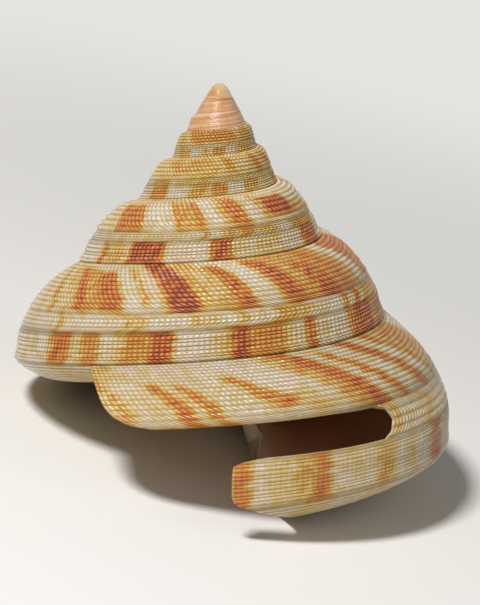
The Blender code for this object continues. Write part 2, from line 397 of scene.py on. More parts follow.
class ShellMesh:
    """The shell's points with what their growth left on them, and the faces between them."""

    def __init__(self):
        self.points = []
        self.values = {name: [] for name in VALUES}
        self.faces = []
        self.slots = []
        self.count = 0

    def add(self, points, **values):
        """Adds an array of points, and returns their numbers in the same layout."""
        shape = points.shape[:-1]
        self.points.append(points.reshape(-1, 3))
        for name in VALUES:
            self.values[name].append(np.broadcast_to(values.get(name, 0.0), shape).reshape(-1))
        first = self.count
        self.count += math.prod(shape)
        return np.arange(first, self.count).reshape(shape)

    def face(self, corners, slot):
        corners = list(dict.fromkeys(corners))
        if len(corners) > 2:
            self.faces.append(corners)
            self.slots.append(slot)

    def quads(self, ids, slot):
        """Faces between the rows and columns of a grid of vertices."""
        corners = np.stack([ids[:-1, :-1], ids[1:, :-1], ids[1:, 1:], ids[:-1, 1:]], axis=-1)
        for four in corners.reshape(-1, 4).tolist():
            self.face(four, slot)

    def stitch(self, one, other, slot):
        """Triangles between two lines, which may have different numbers of vertices."""
        i = j = 0
        while i + 1 < len(one.ids) or j + 1 < len(other.ids):
            step_one = j + 1 == len(other.ids)
            if not step_one and i + 1 < len(one.ids):
                step_one = one.keys[i + 1] <= other.keys[j + 1]
            if step_one:
                corners = (one.ids[i], other.ids[j], one.ids[i + 1])
                i += 1
            else:
                corners = (one.ids[i], other.ids[j], other.ids[j + 1])
                j += 1
            self.face([int(corner) for corner in corners], slot)

    def fan(self, loop, centre, slot, rings=(), **values):
        """Closes a loop with a dome; its points' values run from the edge's to the middle's."""
        edge = self.all_points()[loop]
        loop = np.array(loop, int)
        around = {name: self.all_values(name)[loop] for name in VALUES}
        values = {name: values.get(name, around[name].mean()) for name in VALUES}
        centre = np.array(centre, float)
        for share in rings:
            points = centre + (edge - centre) * (share, share, share * share)
            mixed = {name: share * around[name] + (1.0 - share) * values[name] for name in VALUES}
            ring = self.add(points, **mixed)
            for a, b, c, d in zip(loop, np.roll(loop, -1), np.roll(ring, -1), ring):
                self.face([int(a), int(b), int(c), int(d)], slot)
            loop = ring
        middle = int(self.add(centre[None], **values)[0])
        for a, b in zip(loop, np.roll(loop, -1)):
            self.face([int(a), int(b), middle], slot)

    def all_points(self):
        return np.concatenate(self.points)

    def all_values(self, name):
        return np.concatenate(self.values[name])


@dataclass
class Zone:
    """One strip of the outside, wound from the lip to the apex, with cords along it."""

    first_row: float
    last_row: float
    cords: tuple
    shift: object
    start: float
    end: float
    new_width: float = 1.0
    spread: float = 0.0
    pitch: float = 1.0
    relief: float = 1.0
    beaded: float = 1.0
    soft: float = 0.0

    def width(self, ages):
        """Millimetres across the zone at each age."""
        out = suture(ages - 1.0)[0] - suture(ages)[0]
        down = suture(ages - 1.0)[1] - suture(ages)[1]
        first, last = (
            outline_position(ages, np.full(len(ages), row))
            for row in (self.first_row, self.last_row)
        )
        return np.hypot(out, down) * (last - first)

    def middle_radius(self, ages):
        rows = np.full(len(ages), (self.first_row + self.last_row) / 2.0)
        return section(ages, outline_position(ages, rows))[0]


def cord_rows(zone, whorl, ages):
    """Rows of vertices for a whorl's cords: place across, whether on a ridge, and spacing."""
    count = zone.cords[whorl]
    older = zone.cords[min(whorl + 1, len(zone.cords) - 1)]
    fresh = np.zeros(count, bool)
    if count > older:
        at = (np.arange(count - older) + 0.5) * count / (count - older)
        fresh[np.round(at).astype(int) % count] = True
    grown = smooth((whorl + 0.5 - ages) / CORD_GROWS_IN)
    new = NEW_CORD + (zone.new_width - NEW_CORD) * grown
    widths = np.where(fresh[:, None], new[None, :], 1.0)
    late = 1.0 - smooth(ages / SPREAD_BY)
    widths = widths * (1.0 + zone.spread * late * np.linspace(-1.0, 1.0, count)[:, None])
    widths = widths / widths.sum(axis=0)
    edges = np.vstack([np.zeros(len(ages)), np.cumsum(widths, axis=0)])
    steps = np.array(SHOULDERS)[None, :, None]
    across = (edges[:-1, None] + steps * widths[:, None]).reshape(-1, len(ages))
    across = np.vstack([across, edges[-1:]])
    ridge = np.tile(np.array(SHOULDERS) > 0.0, count)
    ridge = np.append(ridge, False)
    spacing = np.repeat(widths, len(SHOULDERS), axis=0)
    spacing = np.vstack([spacing, widths[-1:]])
    return across, ridge, spacing


def growth_length(ages):
    """Millimetres grown along the rim back to each age."""
    fine = np.linspace(0.0, TURNS, FINE_AGES)
    steps = np.diff(fine) * TAU * suture(fine[1:] - 0.5)[0]
    return np.interp(ages, fine, np.concatenate([[0.0], np.cumsum(steps)]))


def grow_zone(mesh, zone, sizes, pigment):
    """Builds a zone's strips, and returns its four edges: first row, last row, lip and old end."""
    pitch = sizes.bead_pitch / MM * zone.pitch
    columns = age_span(zone.start, zone.end, zone.middle_radius, pitch)
    grown = growth_length(columns)
    whorls = np.clip(np.round(columns).astype(int), 0, len(zone.cords) - 1)
    edges = {"first": None, "last": None}
    previous = None
    for whorl in range(whorls.max() + 1):
        inside = np.flatnonzero(whorls == whorl)
        if len(inside) == 0:
            continue
        ages = columns[inside]
        across, ridge, spacing = cord_rows(zone, whorl, ages)
        rows = zone.first_row + (zone.last_row - zone.first_row) * across
        saddle = zone.beaded * (inside % 2)[None, :] * np.ones_like(rows)
        fresh = 1.0 - WORN * smooth((ages - WORN_FROM) / WORN_OVER)
        fresh = fresh * (1.0 - zone.soft * (1.0 - smooth(ages / SOFT_BY)))
        height = sizes.cord_height * spacing * zone.width(ages) * zone.relief * fresh
        lift = np.where(ridge[:, None], height * (1.0 - sizes.bead_cut * saddle), 0.0)
        at = ages + zone.shift(rows)
        ids = mesh.add(
            surface(at, rows, lift),
            growth=grown[inside] + 0.0 * rows,
            cord=WORN_CORD + (np.where(ridge, 1.0 / 3.0, 1.0)[:, None] - WORN_CORD) * fresh,
            bead=saddle * fresh,
            blush=smooth((at - BLUSH_FROM) / WORN_OVER),
            pigment=pigment(at, rows),
        )
        mesh.quads(ids, OUTER)
        first = Line(at[0], ids[0])
        last = Line(at[-1], ids[-1])
        edges["first"] = edges["first"].then(first) if edges["first"] else first
        edges["last"] = edges["last"].then(last) if edges["last"] else last
        if previous:
            mesh.stitch(previous, Line(rows[:, 0], ids[:, 0]), OUTER)
        else:
            edges["lip"] = Line(rows[:, 0], ids[:, 0])
        previous = Line(rows[:, -1], ids[:, -1])
    edges["end"] = previous
    return edges


# The hollow's wall: millimetres across a row, its share of the full thickness at the edge, how far
# in it is full, and how many vertices it has to a turn by the lip, behind it and further in
ROW_LENGTH = 26.0
EDGE_SHARE = 0.2
THINNING = 7.0
INSIDE_PER_TURN = (120.0, 60.0, 30.0)
# Turns inside the lip where they are closest, and the start of the ceiling's hidden part
LIP_STRETCH = 0.1
HIDDEN_GAP = 0.03
HIDDEN_STEPS = 5
BAND_GAP = 0.006
RIM_GAP = 0.015
LIP_STEPS = ((0.2, 0.75), (0.5, 1.0), (0.8, 0.75))
ROOF_ROWS = (0.12, 0.22, 0.32, 0.40, 0.46, 0.5)
BAND_ROWS = (0.53, 0.58, 0.63)
FLOOR_ROWS = (0.66, 0.70, 0.76, 0.82, 0.88, 0.95, 1.0, 1.08, 1.15, 1.3, 1.4, 1.5, 1.6, 1.7, 1.77)
CEILING_ROWS = (1.05, 1.15, 1.3, 1.5, 1.7, 1.85, 2.0)
PILLAR_AT = (0.0, 0.25, 0.5, 0.75, 1.0, 1.25, 1.5, 2.0, 2.5)
FOOT_ROW = 1.9
# How fast the pillar's nacre darkens into painted shade, turn by turn inwards
PILLAR_TONE = 1.2
DOME_RINGS = (0.8, 0.55, 0.3)
# How much painted shade the nacre round the base's centre gets
NAVEL_TONE = 0.14
APEX_PIGMENT = 0.05
KEY_STEP = 0.01


def coarse_ages(first, fine_end, end):
    """Ages for the inside: close together by the lip and further apart deeper in."""
    middle_end = min(end, fine_end + 1.0)
    stretches = zip((first, fine_end, middle_end), (fine_end, middle_end, end), INSIDE_PER_TURN)
    near, middle, far = (
        np.linspace(start, stop, max(2, int(round((stop - start) * per_turn)) + 1))
        for start, stop, per_turn in stretches
    )
    return np.concatenate([near, middle[1:], far[1:]])


def grow_inside(mesh, rows, ages, shift):
    """A sheet of the hollow's wall on these rows, from the lip inwards."""
    rows = np.array(rows)[:, None] * np.ones(len(ages))
    at = ages + shift(rows)
    rim_radius = suture(at.ravel() - 1.0)[0].reshape(at.shape)
    past_slit = np.maximum(ages - SLIT_END / 360.0, 0.0) * TAU * rim_radius
    beside_slit = np.maximum(UPPER - rows, rows - LOWER) * ROW_LENGTH
    from_slit = np.hypot(past_slit, np.maximum(beside_slit, 0.0))
    from_edge = np.minimum(ages * TAU * rim_radius, from_slit)
    thickness = EDGE_SHARE + (1.0 - EDGE_SHARE) * smooth(from_edge / THINNING)
    ids = mesh.add(surface(at, rows, -WALL * rim_radius * thickness), depth=ages + 0.0 * rows)
    mesh.quads(ids, NACRE)
    return at, rows, ids


def pillar_points(ages):
    """Rows of the pillar from its foot by the base up towards the previous turn's base."""
    at = ages + lip_shift(CENTRE)
    rim_radius, rim_depth = suture(at - 1.0)
    above_radius, end = suture(at)
    foot = rim_depth - FOOT_LIFT * rim_radius
    radii = np.stack([FOOT_RADIUS * rim_radius] + [share * rim_radius for share in PILLAR_RADIUS]
                     + [BASE_END * above_radius])
    depths = np.stack([foot] + [foot + climb * (end - foot) for climb in PILLAR_CLIMB] + [end])
    weights = spline_weights(range(len(radii)), PILLAR_AT)
    return at, place(at, weights @ radii, weights @ depths)


def grow_shell(sizes, pigment):
    """Builds the whole shell: its outside in zones of cords, its hollow, its lip and its caps."""
    mesh = ShellMesh()
    base_end = 1.0 + lip_shift(0.0) - lip_shift(RIM)
    slit_end = SLIT_END / 360.0

    # Outside, in four zones that are stitched along the band's edges, the sutures and the rim
    over_zone = Zone(0.0, UPPER, CORDS_OVER, lip_shift, 0.0, TURNS, spread=0.4, relief=1.3)
    over = grow_zone(mesh, over_zone, sizes, pigment)
    band_zone = Zone(
        UPPER + BAND_GAP, LOWER - BAND_GAP, THREADS, band_shift, slit_end, TURNS, relief=0.5
    )
    band = grow_zone(mesh, band_zone, sizes, pigment)
    under_zone = Zone(
        LOWER, RIM - RIM_GAP, CORDS_UNDER, lip_shift, 0.0, TURNS, new_width=0.7, soft=0.4
    )
    under = grow_zone(mesh, under_zone, sizes, pigment)
    base_zone = Zone(
        RIM, CENTRE, (BASE_CORDS,), lip_shift, 0.0, base_end, pitch=5.0, relief=0.8, beaded=0.0
    )
    base = grow_zone(mesh, base_zone, sizes, pigment)
    corner = over["first"].ids[0]
    base["first"].ids[-1] = corner
    upper_end = int(np.searchsorted(over["last"].keys, slit_end))
    lower_end = int(np.searchsorted(under["first"].keys, slit_end))
    mesh.stitch(over["last"].part(upper_end, None), band["first"], OUTER)
    mesh.stitch(band["last"], under["first"].part(lower_end, None), OUTER)
    covered = int(np.searchsorted(under["last"].keys - 1.0, lip_shift(0.0)))
    joined = int(np.searchsorted(over["first"].keys, under["last"].keys[-1] - 1.0))
    mesh.stitch(under["last"].part(0, covered + 1), base["first"], OUTER)
    older = under["last"].part(covered, None).moved(-1.0)
    mesh.stitch(older, over["first"].part(0, joined + 1), OUTER)

    # Ceiling of the hollow: the base of the whorl before it, from where the last whorl covers it
    inner_line = len(SHOULDERS)
    ceiling_rows = np.array((base["end"].keys[inner_line],) + CEILING_ROWS)
    hidden = np.linspace(base_end + HIDDEN_GAP, 1.0, HIDDEN_STEPS)
    ages = coarse_ages(1.0, 1.0 + LIP_STRETCH, CAVITY_TURNS + 1.0)
    ages = np.concatenate([hidden, ages[1:]])
    rows = ceiling_rows[:, None] * np.ones(len(ages))
    at = ages + lip_shift(rows)
    ids = mesh.add(surface(at, rows), depth=ages - base_end + 0.0 * rows)
    mesh.quads(ids, NACRE)
    mesh.stitch(base["end"].part(inner_line, None), Line(ceiling_rows, ids[:, 0]), NACRE)
    ceiling_start = Line([base_end + lip_shift(ceiling_rows[0])], [base["end"].ids[inner_line]])
    ceiling = ceiling_start.then(Line(at[0], ids[0]))
    centre = base["last"].then(Line(at[-1], ids[-1]))
    ceiling_end = Line(ceiling_rows, ids[:, -1])

    # Roof, band and floor of the hollow, and the pillar
    roof_at, _, roof = grow_inside(
        mesh, ROOF_ROWS, coarse_ages(0.0, slit_end - lip_shift(UPPER), CAVITY_TURNS), lip_shift
    )
    inner_band_at, _, inner_band = grow_inside(
        mesh, BAND_ROWS, coarse_ages(slit_end, slit_end + LIP_STRETCH, CAVITY_TURNS), band_shift
    )
    floor_ages = coarse_ages(0.0, slit_end - lip_shift(LOWER), CAVITY_TURNS)
    floor_at, _, floor = grow_inside(mesh, FLOOR_ROWS, floor_ages, lip_shift)
    pillar_at, points = pillar_points(floor_ages)
    pillar = mesh.add(points, depth=PILLAR_TONE * floor_ages + 0.0 * points[..., 0])
    mesh.quads(np.vstack([floor[-1:], pillar]), NACRE)
    roof_split = int(np.argmin(abs(roof_at[-1] - slit_end)))
    floor_split = int(np.argmin(abs(floor_at[0] - slit_end)))
    top_end = int(np.argmin(abs(ceiling.keys - 1.0 - roof_at[0, -1])))
    mesh.stitch(ceiling.part(0, top_end + 1).moved(-1.0), Line(roof_at[0], roof[0]), NACRE)
    roof_edge = Line(roof_at[-1], roof[-1])
    floor_edge = Line(floor_at[0], floor[0])
    mesh.stitch(roof_edge.part(roof_split, None), Line(inner_band_at[0], inner_band[0]), NACRE)
    mesh.stitch(Line(inner_band_at[-1], inner_band[-1]), floor_edge.part(floor_split, None), NACRE)
    pillar_top = int(np.argmin(abs(centre.keys - 1.0 - pillar_at[0])))
    mesh.stitch(centre.part(pillar_top, None).moved(-1.0), Line(pillar_at, pillar[-1]), NACRE)

    # Lip: two matching edges, outside and inside, with a rounded edge between them. Their keys run
    # to 1 at the slit, 2 at its end, 3 across that, 4 out again and 5 at the base's centre.
    outside = chain(
        Line(over["lip"].keys / UPPER, over["lip"].ids),
        along(over["last"].part(1, upper_end + 1), 1.0, 2.0),
        along(band["lip"], 2.1, 2.9),
        along(under["first"].part(1, lower_end + 1), 4.0, 3.0),
        Line(under_key(under["lip"].keys), under["lip"].ids),
        Line(under_key(base["lip"].keys), base["lip"].ids),
    )
    inside = chain(
        Line(np.arange(1 - inner_line, 1) * KEY_STEP, base["end"].ids[1 : inner_line + 1]),
        Line(np.array(ROOF_ROWS) / UPPER, roof[:, 0]),
        along(roof_edge.part(1, roof_split + 1), 1.0, 2.0),
        along(Line(BAND_ROWS, inner_band[:, 0]), 2.2, 2.8),
        along(floor_edge.part(1, floor_split + 1), 4.0, 3.0),
        Line(under_key(np.array(FLOOR_ROWS)), floor[:, 0]),
        Line([under_key(FOOT_ROW)], pillar[0, :1]),
    )
    grow_lip(mesh, outside, inside, sizes.edge_rounding / MM)

    # Caps: the apex, the end of the hollow, and the base's centre with the pillar's free edge
    loop = np.concatenate([
        over["first"].ids[joined:], over["end"].ids[1:], band["end"].ids, under["end"].ids,
    ])
    mesh.fan(loop, (0.0, 0.0, -APEX_DEPTH), OUTER, DOME_RINGS, pigment=APEX_PIGMENT, blush=0.0)
    loop = np.concatenate([
        ceiling.ids[top_end:][::-1], roof[:, -1], inner_band[:, -1], floor[:, -1], pillar[:, -1],
        ceiling_end.ids[:0:-1],
    ])
    mesh.fan(loop, mesh.all_points()[loop].mean(axis=0), NACRE, depth=CAVITY_TURNS)
    loop = np.concatenate([centre.ids[: pillar_top + 1], pillar[::-1, 0]])
    mesh.fan(loop, (0.0, 0.0, -NAVEL_DEPTH), NACRE, DOME_RINGS, depth=NAVEL_TONE)
    return mesh


def chain(*lines):
    """One line made of several, end to end."""
    keys = np.concatenate([line.keys for line in lines])
    return Line(keys, np.concatenate([line.ids for line in lines]))


def under_key(rows):
    """Key of a row on the lip's lower part, which runs from the slit to the base's centre."""
    return 4.0 + (rows - LOWER) / (CENTRE - LOWER)


def along(line, start, stop):
    """The line with its keys spread evenly from start to stop, turned round where stop is less."""
    share = (line.keys - line.keys[0]) / (line.keys[-1] - line.keys[0])
    if stop < start:
        return Line((start + (stop - start) * share)[::-1], line.ids[::-1])
    return Line(start + (stop - start) * share, line.ids)


def grow_lip(mesh, outside, inside, rounding):
    """Rounds the edge between the outside and the hollow, along the lip and round the slit."""
    points = mesh.all_points()
    grown = mesh.all_values("growth")[outside.ids[1:-1]]
    pigment = np.interp(outside.keys[1:-1], LIP_KEYS, LIP_PIGMENT)
    edge = points[outside.ids]
    inner = points[inside.ids]
    opposite = np.stack(
        [np.interp(outside.keys, inside.keys, inner[:, axis]) for axis in range(3)], axis=1
    )
    tangent = np.gradient(edge, axis=0)
    across = edge - opposite
    free = np.cross(tangent, across)
    free /= np.maximum(np.linalg.norm(free, axis=1), 1e-9)[:, None]
    previous = outside
    for share, push in LIP_STEPS:
        middle = edge + share * (opposite - edge) + push * rounding * free
        ids = mesh.add(middle[1:-1], growth=grown, cord=1.0, pigment=pigment)
        ids = np.concatenate([outside.ids[:1], ids, outside.ids[-1:]])
        line = Line(outside.keys, ids)
        mesh.stitch(previous, line, OUTER)
        previous = line
    mesh.stitch(previous, inside, OUTER)


# Flames: pigment that the animal laid down as it grew, by whorl. Each is the ages at which it
# starts and ends, in thousandths of a turn from the whorl's front, and then, in hundredths, how
# much pigment it holds and, where it doesn't cross the whole zone, the rows it runs across.
FLAMES_OVER = (
    ((-300, -60, 22), (-95, -40, 36, 0, 14), (-78.5, -70, 52, 10, 50), (-56, -50, 45, 22, 42),
     (-41, -28, 74, 16, 50), (-27.5, -22.5, 5, 20, 50), (-21.5, -11.5, 70, 18, 50),
     (21.5, 34, 68, 14, 40), (26, 45, 72, 28, 41), (45, 62, 36, 30, 50), (38, 66, 5, 0, 26),
     (76, 92, 45), (92, 113, 76), (113.5, 120, 5), (124, 136, 74, 4, 50), (138, 153, 12),
     (157, 174, 78), (176, 188, 6), (190, 204, 62), (206, 260, 52)),
    ((-300, -235, 20), (-225, -215, 40), (-200, -190, 60), (-180, -163, 36),
     (-160, -144, 78, 6, 49), (-145, -129, 50, 5, 49), (-130, -101, 76, 10, 49), (-99, -82, 2),
     (-81, -73, 55, 6, 46), (-72, -60, 10), (-58, -26, 97), (-26, 3, 42), (-12, -7, 12, 10, 40),
     (6, 27, 80, 6, 50), (30, 49, 2), (53, 185, 50), (58, 80, 84, 5, 50), (100, 128, 80, 16, 50),
     (134, 152, 68), (175, 190, 5), (196, 270, 74)),
    ((-300, -200, 22), (-190, -130, 66, 16, 50), (-126, -78, 6), (-76, -65, 64), (-65, -46, 45),
     (-46, -28, 64, 12, 50), (-26, 6, 8), (0, 12, 40), (12, 45, 66, 5, 50), (48, 70, 6),
     (70, 86, 45), (86, 150, 90, 16, 43), (150, 210, 50, 30, 50), (-200, 200, 30, 0, 10),
     (160, 225, 12, 0, 26)),
    ((-300, 300, 34), (-150, -50, 46, 14, 36), (18, 44, 56, 15, 45), (112, 138, 62, 10, 50),
     (165, 200, 55, 10, 40)),
    ((-300, 300, 34), (-130, 70, 60, 3, 44), (90, 160, 50, 10, 50)),
)
FLAMES_BAND = (
    ((110, 118, 6), (119, 129, 48), (131, 158, 16), (160, 172, 42)),
    ((-165, -158, 60), (-90, -84, 55), (-78, -71, 55), (-30, -22, 55), (-20, -4, 32), (4, 11, 10),
     (13, 20, 60), (34, 43, 4), (47, 85, 45), (104, 127, 4), (129, 139, 64), (148, 161, 84),
     (165, 250, 45)),
    ((-200, -50, 22), (-30, -20, 60), (0, 90, 42), (30, 45, 60), (120, 200, 50)),
    ((-200, -130, 46), (-120, -30, 36), (-20, 200, 36)),
    ((-200, -20, 32), (0, 200, 36)),
)
FLAMES_UNDER = (
    ((0, 25, 62), (12, 22, 76), (27, 33, 3), (34, 50, 30), (50, 60, 50), (61, 76, 74),
     (77, 83, 12), (84, 105, 26), (108, 127, 48), (132, 165, 5), (142, 148, 45), (170, 190, 80),
     (200, 240, 30)),
    ((-250, -166, 8), (-203, -197, 36), (-162, -157, 40), (-157, -130, 72), (-129, -123, 30),
     (-121, -99, 62), (-97, -88, 5), (-87, -78, 36), (-78, -56, 56), (-56, -32, 86), (-31, -7, 4),
     (-2, 14, 32), (15.5, 34, 94), (34, 66, 60), (66, 76, 30), (77, 83, 4), (84, 97, 82),
     (98, 137, 6), (104, 108, 30), (122, 126, 30), (137, 148, 66), (148, 186, 86), (190, 250, 62)),
    ((-217, -178, 6), (-175, -163, 78), (-161, -128, 42), (-121, -69, 92), (-62, -12, 6),
     (-8, 24, 84), (26, 140, 30), (50, 55, 12), (75, 80, 45), (100, 140, 12), (145, 198, 82)),
    ((-250, -190, 12), (-180, -125, 58), (-118, -80, 5), (-70, -20, 46), (-15, 27, 54),
     (33, 63, 5), (70, 120, 48), (125, 180, 30), (190, 240, 60)),
    ((-175, -110, 44), (-100, -68, 5), (-62, -40, 42), (-20, 28, 52), (35, 62, 5), (70, 170, 45)),
)
SEEN = 0.25
GROUND = 0.12
FLAME_EDGE = 0.0135
FLAME_ROW_EDGE = 0.08
FLAME_LEAN_AGES = (0.0, 1.0, 2.0, 3.0)
FLAME_LEAN = (0.15, 0.105, 0.1, 0.09)
LEAN_ROW = 0.25
LEAN_CURVE = 1.4
LIP_KEYS = (1.4, 1.8)
LIP_PIGMENT = (0.46, 0.1)
TINT_ROWS = (0.482, 0.678)
TINT_WIDTH = 0.014
TINT = 0.3
TINT_FROM = 0.6
WANDER = 0.0022
CORD_JITTER = 0.0022
FINE_STREAK = 0.14
BROAD_STREAK = 0.12
WORN_GROUND = 0.42
WORN_STREAK = 0.55
BASE_CONTRAST = 0.45

# Ripples: the seed of each, and about how many waves it has to a turn and to a row
WANDER_WAVES = (11, 6.0, 12.0)
JITTER_WAVES = (13, 14.0, 34.0)
FINE_WAVES = (12, 60.0, 3.0)
BROAD_WAVES = (14, 22.0, 9.0)
WORN_WAVES = (21, 1.2, 3.0)
WAVES = 6
WAVE_SCALE = 4.0

# Flames on the side and the whorls not listed: their gaps and lengths, in turns, and their pigment
ZONE_ROWS = (0.0, UPPER)
FLAME_GAPS = (0.006, 0.035)
FLAME_LENGTHS = (0.008, 0.045)
UNSEEN_AMOUNTS = (0.04, 0.5, 0.7, 0.8, 0.9)
OLD_AMOUNTS = (0.04, 0.3, 0.5)


def all_flames(flames, seed):
    """The listed flames at their ages, and others like them where none are listed."""
    random = np.random.default_rng(seed)
    laid = []
    for whorl, row in enumerate(flames):
        for start, end, amount, *rows in row:
            rows = [edge / 100.0 for edge in rows] or ZONE_ROWS
            laid.append((whorl + start / 1000.0, whorl + end / 1000.0, amount / 100.0, *rows))
    for whorl in range(int(TURNS) + 1):
        listed = whorl < len(flames)
        age = whorl + SEEN if listed else whorl - 0.5
        stop = whorl + 1.0 - SEEN if listed else whorl + 0.5
        while age < stop:
            age += random.uniform(*FLAME_GAPS)
            length = random.uniform(*FLAME_LENGTHS)
            amount = random.choice(UNSEEN_AMOUNTS if listed else OLD_AMOUNTS)
            laid.append((age, min(age + length, stop), amount, *ZONE_ROWS))
            age += length
    return laid


def lay_flames(flames, ages, rows):
    """Pigment at each age and row: each flame in turn covers what was there, with soft edges."""
    amount = np.full(ages.shape, GROUND)
    for start, end, flame, first_row, last_row in flames:
        inside = smooth((ages - start) / FLAME_EDGE + 0.5) * smooth((end - ages) / FLAME_EDGE + 0.5)
        if first_row > 0.0:
            inside = inside * smooth((rows - first_row) / FLAME_ROW_EDGE + 0.5)
        if last_row < UPPER:
            inside = inside * smooth((last_row - rows) / FLAME_ROW_EDGE + 0.5)
        amount += (flame - amount) * inside
    return amount


def ripple(ages, rows, seed, along_scale, across_scale):
    """Smooth irregular waves between -1 and 1, so many to a turn and to a row."""
    random = np.random.default_rng(seed)
    total = np.zeros(ages.shape)
    for _ in range(WAVES):
        turned = ages * along_scale * random.uniform(0.5, 1.5)
        turned = turned + rows * across_scale * random.uniform(0.5, 1.5)
        total += np.sin((turned + random.uniform(0.0, 1.0)) * TAU)
    return total / WAVE_SCALE


def lay_pigment():
    """A function that gives how much pigment lies at each age and row of the outside."""
    over, band, under = (
        all_flames(flames, seed)
        for flames, seed in ((FLAMES_OVER, 3), (FLAMES_BAND, 5), (FLAMES_UNDER, 8))
    )

    def pigment(ages, rows):
        ages = np.asarray(ages, float) + 0.0 * rows
        rows = rows + 0.0 * ages
        wander = WANDER * ripple(ages, rows, *WANDER_WAVES)
        wander = wander + CORD_JITTER * ripple(ages, rows, *JITTER_WAVES)
        streaks = 1.0 + FINE_STREAK * ripple(ages, rows, *FINE_WAVES)
        streaks = streaks + BROAD_STREAK * ripple(ages, rows, *BROAD_WAVES)
        below = rows - LEAN_ROW
        lean = np.interp(ages, FLAME_LEAN_AGES, FLAME_LEAN) * (below - LEAN_CURVE * below**2)
        # A line of pigment beside the band, and streaks along the first whorls, which are worn
        tint = sum(np.exp(-(((rows - row) / TINT_WIDTH) ** 2)) for row in TINT_ROWS)
        tint = 1.0 + tint * smooth(ages - TINT_FROM)
        worn = smooth((ages - WORN_FROM) / WORN_OVER)
        streaked = WORN_GROUND + WORN_STREAK * ripple(ages, rows, *WORN_WAVES)
        streaks = streaks * (1.0 - worn)
        if rows.mean() < UPPER:
            laid = np.maximum(lay_flames(over, ages - lean + wander, rows), TINT * (tint - 1.0))
            return laid * streaks + worn * streaked
        if rows.mean() < LOWER:
            laid = lay_flames(band, ages - band_shift(rows) + wander, rows)
            return laid * streaks + worn * streaked
        plain = np.maximum(lay_flames(under, ages + wander, rows), TINT * (tint - 1.0))
        faded = GROUND + BASE_CONTRAST * (plain - GROUND)
        return np.where(rows < RIM, plain, faded) * streaks + worn * streaked

    return pigment


def at_rest(points):
    """Puts points of the shell into its resting pose, with its lowest places worn flat."""
    points = points @ np.array(rest_turn()).T + REST_PLACE
    points[:, 2] = np.maximum(points[:, 2], 0.0)
    return points * MM


SAME_POINT = 1e-7


def shell_object(mesh):
    """The grown shell as an object, with its values as attributes of its points."""
    data = bpy.data.meshes.new("shell")
    data.from_pydata(at_rest(mesh.all_points()), [], mesh.faces)
    for name in VALUES:
        attribute = data.attributes.new(name, "FLOAT", "POINT")
        attribute.data.foreach_set("value", mesh.all_values(name).astype(np.float32))
    data.polygons.foreach_set("material_index", np.array(mesh.slots, np.int32))
    body = bmesh.new()
    body.from_mesh(data)
    bmesh.ops.remove_doubles(body, verts=body.verts, dist=SAME_POINT)
    bmesh.ops.recalc_face_normals(body, faces=body.faces)
    body.to_mesh(data)
    body.free()
    data.shade_smooth()
    thing = bpy.data.objects.new("shell", data)
    bpy.context.scene.collection.objects.link(thing)
    return thing


# Looks, with lengths in metres: the size of stains and mottles, and what they do to the pigment
STAIN_SIZE = 0.004
MOTTLE_SIZE = 0.0011
CLOUD_SIZE = 0.003
TINGE_SIZE = 0.0022
TINGE_STRENGTH = 0.5
TINGE_UPTO = 0.45
STAIN_STRENGTH = 0.36
MOTTLE_STRENGTH = 0.4
# How much more pigment the grooves get: partly pigment, partly painted shade
GROOVE_PIGMENT_AND_SHADE = 0.35
# Painted shade in the grooves and painted light on the backs of the beads, as factors on the colour
GROOVE_SHADE = (0.67, 0.59, 0.46)
BACK_PAINTED_LIGHT = (1.08, 1.08, 1.08)
PIGMENT_STOPS = (0.03, 0.14, 0.36, 0.52, 0.68, 0.84, 1.0)
BEAD_SHARE = 0.85
# How pale the backs of the beads are painted: partly wear, partly a painted highlight
CREST_PALENESS = 0.14
BLUSH_STRENGTH = 0.5
GROWTH_LINE = 0.2
GROWTH_LINE_HEIGHT = 0.15
BUMP_HEIGHT = 0.00018
ROUGHNESS = (0.07, 0.2)
WORN_ROUGHNESS = 0.16
SPECULAR_LEVEL = 0.28
ARAGONITE_IOR = 1.5
TINGE_STOPS = (0.36, 0.5, 0.62)
CLOUD_DEPTH = 0.08
NACRE_STOPS = (0.02, 0.22)
PLAY_STOPS = (0.3, 0.5, 0.7)
PLAY_HUES = ("#E8C9C4", "#D8DCC8", "#C4D2DC")
PLAY_SHARE = 0.15
NACRE_ROUGHNESS = 0.3
NACRE_BUMP = 0.0002
NACRE_BUMP_STRENGTH = 0.5


def add_node(tree, kind, sockets=None, stops=None, **settings):
    """Adds a node with its settings; its sockets take numbers, colours or other nodes' outputs."""
    made = tree.nodes.new(kind)
    for name, value in settings.items():
        setattr(made, name, value)
    for key, value in (sockets or {}).items():
        if isinstance(value, bpy.types.NodeSocket):
            tree.links.new(value, made.inputs[key])
        else:
            made.inputs[key].default_value = value
    if stops:
        ramp = made.color_ramp
        while len(ramp.elements) < len(stops):
            ramp.elements.new(1.0)
        for element, (at, colour) in zip(ramp.elements, stops):
            element.position = at
            element.color = (*colour, 1.0)
    return made


def set_inputs(made, **values):
    """Sets a node's inputs; a socket's name is written with underscores."""
    for name, value in values.items():
        made.inputs[name.replace("_", " ")].default_value = value


def calculate(tree, operation, *values, clamp=False):
    """The result of a maths node."""
    sockets = dict(enumerate(values))
    made = add_node(tree, "ShaderNodeMath", sockets, operation=operation, use_clamp=clamp)
    return made.outputs[0]


def mix(tree, share, first, second):
    """The first colour with a share of the second in it."""
    sockets = {"Factor": share, "A": first, "B": second}
    return add_node(tree, "ShaderNodeMix", sockets, data_type="RGBA").outputs["Result"]


def noise(tree, size, detail):
    """Soft noise with patches of about that size, in metres."""
    place_at = add_node(tree, "ShaderNodeTexCoord").outputs["Object"]
    sockets = {"Vector": place_at, "Scale": 1.0 / size, "Detail": detail}
    return add_node(tree, "ShaderNodeTexNoise", sockets).outputs["Fac"]


